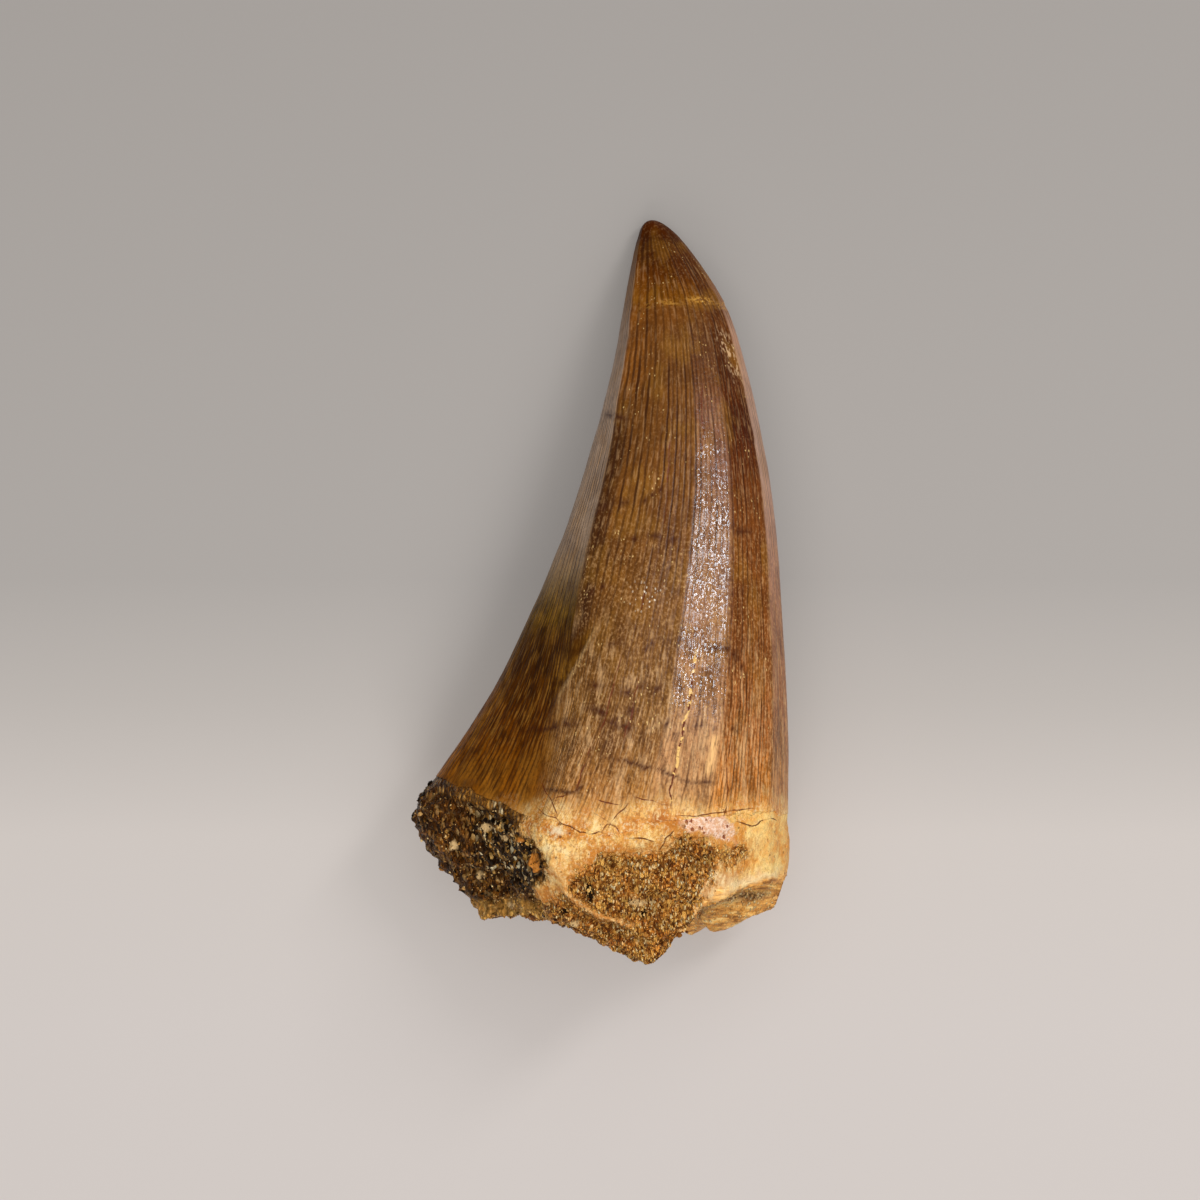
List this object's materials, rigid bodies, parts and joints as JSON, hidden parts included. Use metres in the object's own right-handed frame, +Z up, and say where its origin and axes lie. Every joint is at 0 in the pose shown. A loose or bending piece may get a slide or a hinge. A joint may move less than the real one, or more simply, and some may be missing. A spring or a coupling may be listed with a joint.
{
  "type": "fossil prognathodon mosasaur tooth",
  "caption": "Fossil marine reptile tooth with a glossy brown ribbed crown and a broken root stub in sandy rock, lying on its side.",
  "frame": {"origin": "centre of the bounding box in plan, at the height of the surface the tooth rests on", "axes": "+Y from the broken root to the tip, +Z up out of the lip side, +X from the hollow rear margin to the bulging front margin"},
  "size_m": [0.0304, 0.06, 0.02],
  "materials": {
    "fossil": "glossy brown enamel on the crown, matt cream root and rough sandy rock at the break"
  },
  "bodies": {
    "root": {"tooth": "fossil"}
  },
  "joints": []
}
